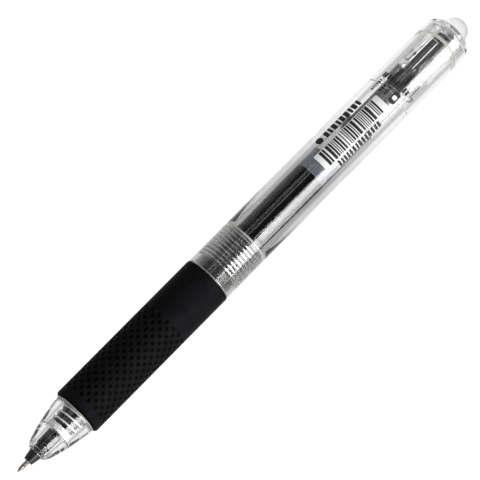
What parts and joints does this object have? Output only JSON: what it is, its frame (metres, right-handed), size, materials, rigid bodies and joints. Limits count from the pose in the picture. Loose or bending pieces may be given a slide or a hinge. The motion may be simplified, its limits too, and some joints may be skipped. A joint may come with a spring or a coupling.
{
  "type": "gel pen",
  "caption": "Retractable gel pen with a clear barrel, a dimpled rubber grip, a spring return and a push-button cam mechanism, shown with its tip out.",
  "frame": {"origin": "the writing point, where the ball meets the paper, on the pen's axis", "axes": "+X along the pen's axis from the writing point to the button; +Z out of the printed side, away from the clip; +Y completes the right-handed frame"},
  "size_m": [0.1462, 0.0122, 0.0149],
  "materials": {
    "clear_plastic": "clear polished polystyrene",
    "clear_refill": "clear polypropylene, slightly milky",
    "black_rubber": "matt moulded rubber",
    "black_plastic": "semi-gloss moulded",
    "dark_grey_plastic": "semi-gloss moulded",
    "grey_plastic": "satin moulded",
    "steel": "turned and polished",
    "spring_steel": "drawn wire",
    "gel_ink": "black gel ink",
    "print_white": "opaque screen-printed ink on the barrel",
    "print_black": "opaque screen-printed ink on the barrel",
    "grease": "clear grease, blue-grey over black"
  },
  "bodies": {
    "barrel": {"front_barrel": "clear_plastic", "rubber_grip": "black_rubber", "rear_barrel": "clear_plastic", "cam_sleeve": "clear_plastic", "end_cap": "clear_plastic", "return_spring": "spring_steel"},
    "button": {"button": "clear_plastic"},
    "refill": {"writing_ball": "steel", "tip_body": "steel", "ball_spring": "spring_steel", "tip_holder": "black_plastic", "refill_tube": "clear_refill", "ink": "gel_ink", "grease_follower": "grease", "tail_adapter": "grey_plastic"},
    "rotor": {"rotor": "dark_grey_plastic"}
  },
  "joints": [
    {"name": "button_press", "type": "slide", "parent": "barrel", "child": "button", "axis": [1, 0, 0], "range_m": [-0.001, 0.0063], "stiffness_N_per_m": 60, "deforming": ["return_spring"]},
    {"name": "refill_slide", "type": "slide", "parent": "barrel", "child": "refill", "axis": [1, 0, 0], "range_m": [-0.001, 0.0063]},
    {"name": "rotor_turn", "type": "hinge", "parent": "refill", "child": "rotor", "pos_m": [0.125, 0, 0], "axis": [1, 0, 0], "continuous": true}
  ],
  "couplings": [
    {"joint": "refill_slide", "follows": "button_press", "ratio": 1}
  ]
}
